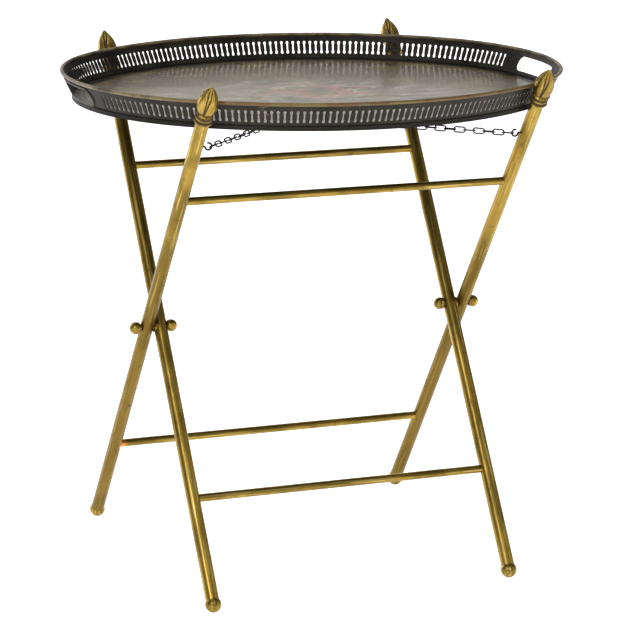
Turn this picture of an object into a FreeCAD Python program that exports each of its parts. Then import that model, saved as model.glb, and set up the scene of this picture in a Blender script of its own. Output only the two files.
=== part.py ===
import FreeCAD, Part
import math
import os

# Folding butler's tray table: a scissor stand of round brass tube with bud finials and ball
# feet, two stay chains, and a lift-off oval gallery tray of thin painted sheet.
# Millimetres and degrees. +Z is up and +X runs along the tray's long axis. The origin is on
# the ground, straight below the middle of the tray.
# The inner pair of legs leans back (+Y at the top), the outer pair leans forward (-Y).

Vector = FreeCAD.Vector

# ---- driving dimensions of the stand ----
LEG_LEAN = 34.0            # angle of every leg from the vertical when the chains are taut
TUBE_RADIUS = 8.0
TUBE_WALL = 1.2
PLUG_EASE = 0.05           # how much thinner the foot and bud plugs are than the bore
INNER_LEG_X = 188.3        # leg axes, either side of the middle
OUTER_LEG_X = 205.3
FOOT_REACH = 343.0         # pivot to the centre of a foot ball, along the leg
FOOT_RADIUS = 9.5
FOOT_PLUG_LENGTH = 19.5    # from the centre of the ball up into the tube
BUD_REACH = {"inner": 347.0, "outer": 351.0}   # pivot to the seat of the bud
COLLAR_HEIGHT = 11.0       # the ringed collar ends at the bud's seat
COLLAR_RING_HEIGHT = 5.0   # of the lower of its two rings
COLLAR_RADIUS = 11.0
COLLAR_ROUNDING = 1.6      # how far each ring swells out of the waist
UPPER_RING_STEP = 0.6      # the upper ring is this much slimmer
COLLAR_LIP = 1.2           # width of the collar's top, round the tube
TUBE_TOP_BELOW_BUD = 1.0
# Heights of the bud are above its seat.
BUD_RADIUS = 12.2
BUD_BELLY_HEIGHT = 14.5
BUD_HEIGHT = 41.0
BUD_FLANGE_STEP = 0.8      # the flange stands this far out from the tube
BUD_FLANGE_HEIGHT = 1.8
BUD_NECK_RADIUS = 8.0
BUD_NECK_HEIGHT = 2.8
BUD_SWELL_RADIUS = 10.6    # between the neck and the belly
BUD_SWELL_HEIGHT = 7.5
BUD_SHOULDER_RADIUS = 9.6  # between the belly and the tip
BUD_SHOULDER_HEIGHT = 28.0
BUD_POINT_RADIUS = 1.2     # of the small cone at the tip
BUD_POINT_HEIGHT = 0.8
BUD_PLUG_DEPTH = 13.0
RAIL_RADIUS = 4.7
UPPER_RAIL_REACH = {"inner": 207.5, "outer": 212.5}
LOWER_RAIL_REACH = 215.0
COPING_LENGTH = 60.0       # of the tube shapes cut out of rails and spacers

# ---- pivots ----
PIVOT_Y = 5.9              # the tray sits a little forward of the pivots, against all four legs
BOLT_RADIUS = 3.0
BOLT_FIT = 0.05            # radial clearance of the bolt in the turning (outer) legs
WASHER_RADIUS = 5.2
WASHER_THICKNESS = 1.0
SPACER_RADIUS = 6.5
SPACER_THICKNESS = 0.6     # beyond the inner tube's side
KNOB_RADIUS = 7.5
KNOB_INSET = 3.3           # how far the ball is flattened on its inner side
KNOB_BORE_DEPTH = 6.0
RUNNING_GAP = 0.3          # between faces that turn past each other

# ---- chains and their screw eyes ----
EYE_REACH = {              # pivot to the screw eyes, along the leg
    "outer_left": 300.0, "inner_right": 300.0,
    "outer_right": 292.5, "inner_left": 292.5,
}
EYE_RING_RADIUS = 3.9
EYE_WIRE_RADIUS = 1.1
EYE_SHANK_LENGTH = 3.0     # from the tube's side to the ring's wire
EYE_OPENING = 70.0         # gap in the open ring, at the top next to the leg
LINK_WIRE_RADIUS = 0.9
LINK_HALF_WIDTH = 3.1      # of the link's centre line
LINK_SLACK = 0.35          # clearance between linked wires
LINK_PITCH = 12.0          # nominal; each chain takes a whole number of links
CHAIN_SAG = {"left": 0.6, "right": 2.6}

# ---- tray ----
TRAY_HALF_LENGTH = 303.5   # to the outside of the rolled rim
TRAY_HALF_WIDTH = 247.8
TRAY_END_RADIUS = 217.0    # end arcs of the four-centred oval, outside the rim
TRAY_FLARE = 15.6          # the wall's foot stands this far inside the rim's outside
TRAY_HEIGHT = 34.0
TRAY_BASE_ABOVE_PIVOT = 271.2
SHEET = 1.2                # thickness of the painted sheet
RIM_RADIUS = 2.1
FOOT_BAND_HEIGHT = 5.0
FOOT_BAND_STEP = 1.2       # the band stands proud of the wall's foot
FLOOR_TOP = 3.2            # above the band's underside
FLOOR_THICKNESS = 1.4
HAND_HOLE_WIDTH = 90.0
HAND_HOLE_HEIGHT = 17.0
HAND_HOLE_BOTTOM = 8.0
HAND_HOLE_CORNER = 7.5
EDGING_WIDTH = 2.6
EDGING_DEPTH = 1.2
WALL_INTO_RIM = 0.9        # the sheet ends this share of the rim's radius below its centre
HOLE_CUT_INSIDE = 60.0     # the cutters of the hand holes reach this far in from the rim
HOLE_CUT_OUTSIDE = 20.0

# ---- worked-out sizes ----
LEAN = math.radians(LEG_LEAN)
PIVOT_HEIGHT = FOOT_REACH * math.cos(LEAN) + FOOT_RADIUS
TUBE_BORE = TUBE_RADIUS - TUBE_WALL
TRAY_BASE_Z = PIVOT_HEIGHT + TRAY_BASE_ABOVE_PIVOT
# The side arcs are tangent to the end arcs of the four-centred oval.
END_CENTRE_X = TRAY_HALF_LENGTH - TRAY_END_RADIUS
TRAY_SIDE_RADIUS = (
    END_CENTRE_X**2 + TRAY_HALF_WIDTH**2 - TRAY_END_RADIUS**2
) / (2.0 * (TRAY_HALF_WIDTH - TRAY_END_RADIUS))
SIDE_CENTRE_Y = TRAY_SIDE_RADIUS - TRAY_HALF_WIDTH
END_HALF_ANGLE = math.degrees(math.atan2(SIDE_CENTRE_Y, END_CENTRE_X))

X_AXIS = Vector(1, 0, 0)
Z_AXIS = Vector(0, 0, 1)

LEGS = {
    "inner_left": (-INNER_LEG_X, 1.0),
    "inner_right": (INNER_LEG_X, 1.0),
    "outer_left": (-OUTER_LEG_X, -1.0),
    "outer_right": (OUTER_LEG_X, -1.0),
}

nodes = {}


def pivot_point(x):
    return Vector(x, PIVOT_Y, PIVOT_HEIGHT)


def leg_axis(lean_sign):
    """Unit vector up a leg: the inner pair leans to +Y, the outer pair to -Y."""
    return Vector(0, lean_sign * math.sin(LEAN), math.cos(LEAN))


def frame_of(leg):
    return leg.split("_")[0]


def on_leg(leg, reach):
    """The point on a leg's axis at a distance above (or, negative, below) the pivot."""
    x, lean_sign = LEGS[leg]
    return pivot_point(x) + leg_axis(lean_sign) * reach


def stand_on_leg(shape, leg):
    """Places a shape made on the Z axis, with the pivot at Z = 0, on a leg's axis."""
    x, lean_sign = LEGS[leg]
    turn = FreeCAD.Rotation(X_AXIS, -lean_sign * LEG_LEAN)
    shape.Placement = FreeCAD.Placement(pivot_point(x), turn)
    return shape


def inward(x):
    """+1 or -1: the direction from a leg towards the middle of the stand."""
    return -1.0 if x > 0 else 1.0


def x_cylinder(radius, x_from, x_to, y, z):
    low, high = min(x_from, x_to), max(x_from, x_to)
    return Part.makeCylinder(radius, high - low, Vector(low, y, z), X_AXIS)


def solid_of_revolution(edges):
    """Turns a closed profile in the XZ plane once round the Z axis."""
    face = Part.Face(Part.Wire(Part.__sortEdges__(edges)))
    return face.revolve(Vector(0, 0, 0), Z_AXIS, 360)


def line(a, b):
    return Part.makeLine(Vector(a[0], 0, a[1]), Vector(b[0], 0, b[1]))


def arc(a, middle, b):
    points = [Vector(p[0], 0, p[1]) for p in (a, middle, b)]
    return Part.Arc(*points).toShape()


# ---- legs, feet, finials ----
def make_leg(leg):
    """A drawn tube with a ball-shaped seat at the foot, a bolt hole and a screw-eye hole."""
    x, lean_sign = LEGS[leg]
    length = BUD_REACH[frame_of(leg)] - TUBE_TOP_BELOW_BUD + FOOT_REACH
    tube = Part.makeCylinder(TUBE_RADIUS, length, Vector(0, 0, -FOOT_REACH))
    tube = tube.cut(Part.makeCylinder(TUBE_BORE, length, Vector(0, 0, -FOOT_REACH)))
    tube = tube.cut(Part.makeSphere(FOOT_RADIUS, Vector(0, 0, -FOOT_REACH)))
    fit = BOLT_FIT if lean_sign < 0 else 0.0
    bolt_hole = x_cylinder(BOLT_RADIUS + fit, -2 * TUBE_RADIUS, 2 * TUBE_RADIUS, 0, 0)
    tube = tube.cut(bolt_hole)
    eye_hole = x_cylinder(EYE_WIRE_RADIUS, 0, inward(x) * 2 * TUBE_RADIUS, 0, EYE_REACH[leg])
    return stand_on_leg(tube.cut(eye_hole), leg)


def make_foot(leg):
    """A solid ball with a short plug up the tube."""
    ball = Part.makeSphere(FOOT_RADIUS, Vector(0, 0, -FOOT_REACH))
    foot_centre = Vector(0, 0, -FOOT_REACH)
    plug = Part.makeCylinder(TUBE_BORE - PLUG_EASE, FOOT_PLUG_LENGTH, foot_centre)
    return stand_on_leg(ball.fuse(plug), leg)


def make_collar(leg):
    """Two half-round rings and a waist between them, slipped over the tube's top."""
    high = BUD_REACH[frame_of(leg)]
    low = high - COLLAR_HEIGHT
    middle = low + COLLAR_RING_HEIGHT
    waist = COLLAR_RADIUS - COLLAR_ROUNDING
    upper = COLLAR_RADIUS - UPPER_RING_STEP
    lip = TUBE_RADIUS + COLLAR_LIP
    edges = [
        line((TUBE_RADIUS, low), (waist, low)),
        arc((waist, low), (COLLAR_RADIUS, (low + middle) / 2), (waist, middle)),
        arc((waist, middle), (upper, (middle + high) / 2), (lip, high)),
        line((lip, high), (TUBE_RADIUS, high)),
        line((TUBE_RADIUS, high), (TUBE_RADIUS, low)),
    ]
    return stand_on_leg(solid_of_revolution(edges), leg)


def make_bud(leg):
    """A closed flower bud: a seat, a narrow neck, a full belly and a pointed tip, plugged
    into the tube."""
    seat = BUD_REACH[frame_of(leg)]
    plug = TUBE_BORE - PLUG_EASE
    plug_bottom = seat - BUD_PLUG_DEPTH
    flange = TUBE_RADIUS + BUD_FLANGE_STEP
    flange_top = (flange, seat + BUD_FLANGE_HEIGHT)
    neck = (BUD_NECK_RADIUS, seat + BUD_NECK_HEIGHT)
    swell = (BUD_SWELL_RADIUS, seat + BUD_SWELL_HEIGHT)
    belly = (BUD_RADIUS, seat + BUD_BELLY_HEIGHT)
    shoulder = (BUD_SHOULDER_RADIUS, seat + BUD_SHOULDER_HEIGHT)
    tip = (0, seat + BUD_HEIGHT)
    point = (BUD_POINT_RADIUS, seat + BUD_HEIGHT - BUD_POINT_HEIGHT)
    edges = [
        line((0, plug_bottom), (plug, plug_bottom)),
        line((plug, plug_bottom), (plug, seat)),
        line((plug, seat), (flange, seat)),
        line((flange, seat), flange_top),
        line(flange_top, neck),
        arc(neck, swell, belly),
        arc(belly, shoulder, point),
        line(point, tip),
        line(tip, (0, plug_bottom)),
    ]
    return stand_on_leg(solid_of_revolution(edges), leg)


def make_rail(left_leg, right_leg, reach):
    """A round rod between two legs, its ends coped to the tubes."""
    start = on_leg(left_leg, reach)
    end = on_leg(right_leg, reach)
    rod = x_cylinder(RAIL_RADIUS, start.x, end.x, start.y, start.z)
    for leg in (left_leg, right_leg):
        low_end = Vector(0, 0, reach - COPING_LENGTH / 2)
        span = Part.makeCylinder(TUBE_RADIUS, COPING_LENGTH, low_end)
        rod = rod.cut(stand_on_leg(span, leg))
    return rod


# ---- pivots ----
def make_bolt(side):
    """A plain shaft through both legs of a side, reaching into the two knobs."""
    reach = KNOB_BORE_DEPTH
    low = INNER_LEG_X - TUBE_RADIUS - WASHER_THICKNESS - reach
    high = OUTER_LEG_X + TUBE_RADIUS + RUNNING_GAP + WASHER_THICKNESS + reach
    return x_cylinder(BOLT_RADIUS, side * low, side * high, PIVOT_Y, PIVOT_HEIGHT)


def make_spacer(side):
    """A bush coped to the inner tube, with a flat face towards the outer tube."""
    flat = INNER_LEG_X + TUBE_RADIUS + SPACER_THICKNESS
    leg = "inner_left" if side < 0 else "inner_right"
    bush = x_cylinder(SPACER_RADIUS, side * INNER_LEG_X, side * flat, PIVOT_Y, PIVOT_HEIGHT)
    tube = Part.makeCylinder(TUBE_RADIUS, COPING_LENGTH, Vector(0, 0, -COPING_LENGTH / 2))
    bush = bush.cut(stand_on_leg(tube, leg))
    hole = x_cylinder(BOLT_RADIUS, side * INNER_LEG_X, side * (flat + 1), PIVOT_Y, PIVOT_HEIGHT)
    return bush.cut(hole)


def knob_faces():
    """X of the faces that the washers lie against, and the outward direction of each."""
    faces = {}
    for name, side in (("left", -1.0), ("right", 1.0)):
        outer = OUTER_LEG_X + TUBE_RADIUS + RUNNING_GAP
        faces["outer_" + name] = (side * outer, side)
        faces["inner_" + name] = (side * (INNER_LEG_X - TUBE_RADIUS), -side)
    return faces


def make_washer(face_x, outwards):
    end = face_x + outwards * WASHER_THICKNESS
    disc = x_cylinder(WASHER_RADIUS, face_x, end, PIVOT_Y, PIVOT_HEIGHT)
    return disc.cut(x_cylinder(BOLT_RADIUS, face_x - 1, end + 1, PIVOT_Y, PIVOT_HEIGHT))


def make_knob(face_x, outwards):
    """A ball nut: a ball flattened on its inner side, with a blind hole for the bolt."""
    start = face_x + outwards * WASHER_THICKNESS
    centre = start + outwards * (KNOB_RADIUS - KNOB_INSET)
    ball = Part.makeSphere(KNOB_RADIUS, Vector(centre, PIVOT_Y, PIVOT_HEIGHT))
    inner_end = start - outwards * 2 * KNOB_RADIUS
    ball = ball.cut(x_cylinder(2 * KNOB_RADIUS, start, inner_end, PIVOT_Y, PIVOT_HEIGHT))
    bore_end = start + outwards * KNOB_BORE_DEPTH
    return ball.cut(x_cylinder(BOLT_RADIUS, start, bore_end, PIVOT_Y, PIVOT_HEIGHT))


# ---- chains ----
def eye_hold_point(leg):
    """Middle of the eye's wire at its far side, where the chain pulls."""
    x = LEGS[leg][0]
    reach_in = TUBE_RADIUS + EYE_SHANK_LENGTH + 2.0 * EYE_RING_RADIUS
    return on_leg(leg, EYE_REACH[leg]) + Vector(inward(x) * reach_in, 0, 0)


def make_eye(leg):
    """An open screw eye: a shank through the tube's side and an upright ring that runs from it
    round underneath and up, open at the top next to the leg."""
    x, lean_sign = LEGS[leg]
    way = inward(x)
    ring_x = way * (TUBE_RADIUS + EYE_SHANK_LENGTH + EYE_RING_RADIUS)
    sweep = 360.0 - EYE_OPENING
    ring = Part.makeTorus(EYE_RING_RADIUS, EYE_WIRE_RADIUS, Vector(0, 0, 0), Z_AXIS, -180, 180, sweep)
    ring.rotate(Vector(0, 0, 0), Z_AXIS, 180)
    ring.rotate(Vector(0, 0, 0), X_AXIS, 90)
    if way < 0:
        ring.rotate(Vector(0, 0, 0), Z_AXIS, 180)
    ring.rotate(Vector(0, 0, 0), X_AXIS, lean_sign * LEG_LEAN)
    ring.translate(Vector(ring_x, 0, EYE_REACH[leg]))
    shank_end = ring_x - way * EYE_RING_RADIUS
    shank = x_cylinder(EYE_WIRE_RADIUS, way * (TUBE_BORE - 2.0), shank_end, 0, EYE_REACH[leg])
    return stand_on_leg(ring.fuse(shank), leg)


def chain_line(start, end, sag):
    """A parabola from start to end whose middle hangs by sag below the straight line."""
    def point(t):
        straight = start + (end - start) * t
        return straight - Z_AXIS * (4.0 * sag * t * (1.0 - t))
    return point


def even_points(curve, count):
    """count + 1 points at equal steps of length along a curve of one parameter."""
    steps = 2000
    samples = [curve(i / steps) for i in range(steps + 1)]
    lengths = [0.0]
    for a, b in zip(samples, samples[1:]):
        lengths.append(lengths[-1] + a.distanceToPoint(b))
    points = []
    j = 0
    for k in range(count + 1):
        wanted = lengths[-1] * k / count
        while j < steps - 1 and lengths[j + 1] < wanted:
            j += 1
        share = (wanted - lengths[j]) / (lengths[j + 1] - lengths[j])
        points.append(samples[j] + (samples[j + 1] - samples[j]) * share)
    return points, lengths[-1]


def make_link(centre, along, across, length):
    """An oval wire link: two half rings and two straight sides round a centre line."""
    half_straight = length / 2.0 - LINK_HALF_WIDTH
    parts = []
    for end in (1.0, -1.0):
        ring = Part.makeTorus(
            LINK_HALF_WIDTH, LINK_WIRE_RADIUS, Vector(0, 0, 0), Z_AXIS, -180, 180, 180
        )
        ring.rotate(Vector(0, 0, 0), Z_AXIS, -90 if end > 0 else 90)
        ring.translate(Vector(end * half_straight, 0, 0))
        parts.append(ring)
        side = Part.makeCylinder(
            LINK_WIRE_RADIUS, 2 * half_straight, Vector(-half_straight, end * LINK_HALF_WIDTH, 0), X_AXIS
        )
        parts.append(side)
    link = parts[0].fuse(parts[1:])
    normal = along.cross(across)
    turn = FreeCAD.Matrix(
        along.x, across.x, normal.x, centre.x,
        along.y, across.y, normal.y, centre.y,
        along.z, across.z, normal.z, centre.z,
        0, 0, 0, 1,
    )
    link.Placement = FreeCAD.Placement(turn)
    return link


def make_chain(front_leg, back_leg, sag):
    """Oval links, each turned a quarter turn from the last, from eye to eye."""
    start, end = eye_hold_point(front_leg), eye_hold_point(back_leg)
    way = (end - start).normalize()
    hooked = EYE_WIRE_RADIUS + LINK_SLACK / 2.0
    curve = chain_line(start - way * hooked, end + way * hooked, sag)
    length = even_points(curve, 1)[1]
    count = 2 * round(length / LINK_PITCH / 2.0) + 1
    points, length = even_points(curve, count)
    pitch = length / count
    link_length = pitch + 2.0 * LINK_WIRE_RADIUS + LINK_SLACK
    print("chain", front_leg, "links", count, "pitch", round(pitch, 2), "length", round(length, 1))
    links = []
    for i in range(count):
        along = (points[i + 1] - points[i]).normalize()
        level = along.cross(Z_AXIS).normalize()
        upright = level.cross(along)
        across = level if i % 2 == 0 else upright
        links.append(make_link((points[i] + points[i + 1]) * 0.5, along, across, link_length))
    return Part.makeCompound(links)


# ---- tray ----
def oval_sectors():
    """The four arcs of the oval: centre, radius to the rim's outside, start angle, sweep."""
    end_sweep = 2.0 * END_HALF_ANGLE
    side_sweep = 180.0 - end_sweep
    return [
        ((END_CENTRE_X, 0.0), TRAY_END_RADIUS, -END_HALF_ANGLE, end_sweep),
        ((0.0, -SIDE_CENTRE_Y), TRAY_SIDE_RADIUS, END_HALF_ANGLE, side_sweep),
        ((-END_CENTRE_X, 0.0), TRAY_END_RADIUS, 180.0 - END_HALF_ANGLE, end_sweep),
        ((0.0, SIDE_CENTRE_Y), TRAY_SIDE_RADIUS, 180.0 + END_HALF_ANGLE, side_sweep),
    ]


def oval_ring(profile, sectors=None):
    """Carries a profile round the oval. The profile's X is measured inwards from the rim's
    outside and its Z upwards from the foot band's underside."""
    pieces = []
    for (cx, cy), radius, start, sweep in sectors or oval_sectors():
        face = profile()
        face.transformShape(FreeCAD.Matrix(-1, 0, 0, radius, 0, 1, 0, 0, 0, 0, 1, 0, 0, 0, 0, 1))
        face.rotate(Vector(0, 0, 0), Z_AXIS, start)
        piece = face.revolve(Vector(0, 0, 0), Z_AXIS, sweep)
        piece.translate(Vector(cx, cy, TRAY_BASE_Z))
        pieces.append(piece)
    ring = pieces[0]
    if len(pieces) > 1:
        ring = ring.fuse(pieces[1:]).removeSplitter()
    return ring.Solids[0] if len(ring.Solids) == 1 else ring


def polygon_face(points):
    corners = [Vector(x, 0, z) for x, z in points]
    return Part.Face(Part.makePolygon(corners + [corners[0]]))


WALL_FOOT_Z = FOOT_BAND_HEIGHT
WALL_TOP_Z = TRAY_HEIGHT - RIM_RADIUS
RIM_CENTRE_X = RIM_RADIUS
FLARE_RUN = (TRAY_FLARE - RIM_RADIUS) / (WALL_TOP_Z - WALL_FOOT_Z)


def wall_inset(z):
    """How far the middle of the wall's sheet stands inside the rim's outside at height z."""
    return RIM_CENTRE_X + FLARE_RUN * (WALL_TOP_Z - z)


def wall_face(outer_growth=0.0):
    """The wall's slanting section, from the foot band up to the rolled rim."""
    top = WALL_TOP_Z - RIM_RADIUS * WALL_INTO_RIM
    low_x = wall_inset(WALL_FOOT_Z)
    high_x = wall_inset(top)
    outside = SHEET / 2 + outer_growth
    inside = SHEET / 2
    return polygon_face([
        (low_x - outside, WALL_FOOT_Z),
        (low_x + inside, WALL_FOOT_Z),
        (high_x + inside, top),
        (high_x - outside, top),
    ])


def rim_face():
    """A rolled edge: a round bead that clears the top of the wall's sheet."""
    centre = Vector(RIM_CENTRE_X, 0, WALL_TOP_Z)
    bead = Part.Face(Part.Wire(Part.makeCircle(RIM_RADIUS, centre, Vector(0, 1, 0))))
    return bead.cut(wall_face()).Faces[0]


def band_face():
    outside = wall_inset(WALL_FOOT_Z) - SHEET / 2 - FOOT_BAND_STEP
    inside = wall_inset(WALL_FOOT_Z) + SHEET / 2
    return polygon_face([
        (outside, 0),
        (inside, 0),
        (inside, FOOT_BAND_HEIGHT),
        (outside, FOOT_BAND_HEIGHT),
    ])


def oval_plate(inset, z_low, thickness):
    """A flat plate with the oval's outline, set in from the rim's outside."""
    edges = []
    for (cx, cy), radius, start, sweep in oval_sectors():
        centre = Vector(cx, cy, TRAY_BASE_Z + z_low)
        edges.append(Part.makeCircle(radius - inset, centre, Z_AXIS, start, start + sweep))
    return Part.Face(Part.Wire(edges)).extrude(Z_AXIS * thickness)


def rounded_bar(width, height, corner, x_from, x_to):
    """A bar along X with a rounded rectangular section, centred on the hand holes."""
    low_x = min(x_from, x_to)
    centre_z = TRAY_BASE_Z + HAND_HOLE_BOTTOM + HAND_HOLE_HEIGHT / 2
    box = Part.makeBox(
        abs(x_to - x_from), width, height,
        Vector(low_x, -width / 2, centre_z - height / 2),
    )
    along_x = [e for e in box.Edges if abs(e.tangentAt(e.FirstParameter).x) > 0.99]
    return box.makeFillet(corner, along_x)


def hand_hole_bar(side, growth=0.0):
    return rounded_bar(
        HAND_HOLE_WIDTH + 2 * growth,
        HAND_HOLE_HEIGHT + 2 * growth,
        HAND_HOLE_CORNER + growth,
        side * (TRAY_HALF_LENGTH - HOLE_CUT_INSIDE),
        side * (TRAY_HALF_LENGTH + HOLE_CUT_OUTSIDE),
    )


def make_gallery():
    wall = oval_ring(wall_face)
    for side in (-1.0, 1.0):
        wall = wall.cut(hand_hole_bar(side))
    return wall


def make_edging(side):
    """A raised bead round a hand hole, lying on the wall's outer face."""
    def skin():
        grown = wall_face(outer_growth=EDGING_DEPTH)
        return grown.cut(wall_face()).Faces[0]
    end = oval_sectors()[0 if side > 0 else 2]
    shell = oval_ring(skin, [end])
    frame = hand_hole_bar(side, EDGING_WIDTH).cut(hand_hole_bar(side))
    return shell.common(frame)


# ---- the assembly ----
for leg in LEGS:
    frame, side_name = leg.split("_")
    nodes[f"{frame}_leg_{side_name}"] = make_leg(leg)
    nodes[f"foot_ball_{leg}"] = make_foot(leg)
    nodes[f"finial_collar_{leg}"] = make_collar(leg)
    nodes[f"finial_bud_{leg}"] = make_bud(leg)
    nodes[f"chain_eye_{leg}"] = make_eye(leg)

for frame in ("inner", "outer"):
    upper = UPPER_RAIL_REACH[frame]
    nodes[f"{frame}_upper_rail"] = make_rail(f"{frame}_left", f"{frame}_right", upper)
    nodes[f"{frame}_lower_rail"] = make_rail(f"{frame}_left", f"{frame}_right", -LOWER_RAIL_REACH)

for name, side in (("left", -1.0), ("right", 1.0)):
    nodes[f"pivot_bolt_{name}"] = make_bolt(side)
    nodes[f"pivot_spacer_{name}"] = make_spacer(side)
    nodes[f"hand_hole_edging_{name}"] = make_edging(side)

washers = []
for place, (face_x, outwards) in knob_faces().items():
    washers.append(make_washer(face_x, outwards))
    nodes[f"pivot_knob_{place}"] = make_knob(face_x, outwards)
nodes["pivot_washers"] = Part.makeCompound(washers)

nodes["chain_from_front_left"] = make_chain("outer_left", "inner_right", CHAIN_SAG["left"])
nodes["chain_from_front_right"] = make_chain("outer_right", "inner_left", CHAIN_SAG["right"])

band_inside = wall_inset(WALL_FOOT_Z) + SHEET / 2
nodes["tray_floor"] = oval_plate(band_inside, FLOOR_TOP - FLOOR_THICKNESS, FLOOR_THICKNESS)
nodes["tray_foot_band"] = oval_ring(band_face)
nodes["tray_gallery"] = make_gallery()
nodes["tray_rim"] = oval_ring(rim_face)

os.makedirs("parts", exist_ok=True)
for name, shape in nodes.items():
    shape.exportStep(f"parts/{name}.step")
    box = shape.BoundBox
    print(
        name, len(shape.Solids), shape.isValid(), round(shape.Volume, 1),
        [round(v, 1) for v in (box.XMin, box.YMin, box.ZMin, box.XMax, box.YMax, box.ZMax)],
    )
print("pivot height", round(PIVOT_HEIGHT, 2), "tray base", round(TRAY_BASE_Z, 2))
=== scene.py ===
import bmesh
import bpy
import math
import numpy as np
from mathutils import Matrix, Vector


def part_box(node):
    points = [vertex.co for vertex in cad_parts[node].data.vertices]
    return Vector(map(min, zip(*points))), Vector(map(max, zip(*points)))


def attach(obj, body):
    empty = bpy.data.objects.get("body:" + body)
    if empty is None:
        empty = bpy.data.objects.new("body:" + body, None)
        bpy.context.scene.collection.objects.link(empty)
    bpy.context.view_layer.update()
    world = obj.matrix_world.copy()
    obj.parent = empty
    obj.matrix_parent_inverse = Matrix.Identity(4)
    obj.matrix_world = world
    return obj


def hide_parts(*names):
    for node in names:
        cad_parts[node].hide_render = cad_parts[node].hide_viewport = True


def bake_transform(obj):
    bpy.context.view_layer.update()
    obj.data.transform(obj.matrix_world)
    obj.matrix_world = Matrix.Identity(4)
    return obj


# Looks of the folding butler's tray table. Metres; +Z up, +X along the tray, +Y to the back.

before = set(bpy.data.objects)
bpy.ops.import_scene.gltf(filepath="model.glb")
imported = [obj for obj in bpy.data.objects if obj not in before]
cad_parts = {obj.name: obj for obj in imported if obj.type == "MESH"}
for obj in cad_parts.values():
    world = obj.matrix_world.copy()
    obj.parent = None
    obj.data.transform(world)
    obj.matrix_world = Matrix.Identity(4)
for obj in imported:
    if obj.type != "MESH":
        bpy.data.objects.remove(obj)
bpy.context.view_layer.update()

# ---- sizes of the stand ----
MM = 0.001
LEAN = math.radians(34.0)           # of both frames, from upright
PIVOT = np.array([0.0, 5.9, 293.86]) * MM
INNER_X = 188.3 * MM
OUTER_X = 205.3 * MM
# from the pivot up the leg, in millimetres
BUD_SEAT = {"inner": 347.0, "outer": 351.0}
EYE_REACH = {"outer_left": 300.0, "inner_right": 300.0, "outer_right": 292.5, "inner_left": 292.5}
COLLAR_HEIGHT = 11.0
# side, and which way the top leans: 1 to the back, -1 to the front
LEGS = {
    "inner_left": (-INNER_X, 1.0),
    "inner_right": (INNER_X, 1.0),
    "outer_left": (-OUTER_X, -1.0),
    "outer_right": (OUTER_X, -1.0),
}

# ---- sizes of the tray: an oval of two end arcs and two side arcs, its wall leaning out ----
BASE_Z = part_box("tray_foot_band")[0].z
END_RADIUS = 217.0 * MM
HALF_LENGTH = 303.5 * MM
HALF_WIDTH = 247.8 * MM
END_CENTRE = HALF_LENGTH - END_RADIUS
SIDE_RADIUS = (END_CENTRE**2 + HALF_WIDTH**2 - END_RADIUS**2) / (2 * (HALF_WIDTH - END_RADIUS))
SIDE_CENTRE = SIDE_RADIUS - HALF_WIDTH
END_ANGLE = math.atan2(SIDE_CENTRE, END_CENTRE)
SHEET = 1.2 * MM
TRAY_HEIGHT = 34.0 * MM
TRAY_FLARE = 15.6 * MM              # how far the wall's foot stands inside the outline
FLOOR_INSET = 16.0 * MM             # where the floor shows, in from the outline
RIM_RADIUS = 2.1 * MM
WALL_LOW = 4.6 * MM
WALL_FOOT = 5.0 * MM
WALL_TOP = TRAY_HEIGHT - RIM_RADIUS
WALL_HIGH = WALL_TOP - 1.0 * MM
WALL_SLOPE = (TRAY_FLARE - RIM_RADIUS) / (WALL_TOP - WALL_FOOT)

SLOT_PITCH = 7.22 * MM              # wanted; a whole number of slots fills each side
SLOT_LENGTH = 14.8 * MM
SLOT_END_RADIUS = 1.70 * MM
SLOT_WAIST = 0.95 * MM              # half the width in the middle
SLOT_MIDDLE = 16.6 * MM             # above the base
HAND_WIDTH = 90.0 * MM
HAND_HEIGHT = 17.0 * MM
HAND_CORNER = 7.5 * MM
HAND_MIDDLE = 16.5 * MM             # above the base
PLAIN_END = 66.0 * MM               # half the plain stretch round a hand hole, straight across

# ---- sizes of the chains ----
LINKS = 41
LINK_WIRE = 0.9 * MM
LINK_HALF = 3.1 * MM                # half the link's width, to the middle of its wire
LINK_SLACK = 0.35 * MM
EYE_SIDE = 18.8 * MM                # from the leg's axis inwards to the wire the chain pulls on
EYE_WIRE = 1.1 * MM
EYE_HOLD = EYE_WIRE + LINK_SLACK / 2    # how far past the middle of that wire a chain starts


# ---- material arithmetic ----
class Value:
    """A number or vector inside a material that takes ordinary arithmetic."""

    def __init__(self, look, socket):
        self.look = look
        self.socket = socket

    def math(self, operation, *others):
        inputs = dict(enumerate((self, *others)))
        return self.look.node("ShaderNodeMath", {"operation": operation}, inputs)

    def __add__(self, other):
        return self.math("ADD", other)

    def __radd__(self, other):
        return self.math("ADD", other)

    def __sub__(self, other):
        return self.math("SUBTRACT", other)

    def __rsub__(self, other):
        return (self * -1.0) + other

    def __mul__(self, other):
        return self.math("MULTIPLY", other)

    def __rmul__(self, other):
        return self.math("MULTIPLY", other)

    def __abs__(self):
        return self.math("ABSOLUTE")

    def sin(self):
        return self.math("SINE")

    def root(self):
        return self.math("SQRT")

    def rise(self, low, high):
        """0 below low, 1 above high, smooth between; low may be the larger one."""
        settings = {"interpolation_type": "SMOOTHSTEP", "clamp": True}
        inputs = {"Value": self, "From Min": low, "From Max": high}
        return self.look.node("ShaderNodeMapRange", settings, inputs)


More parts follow.
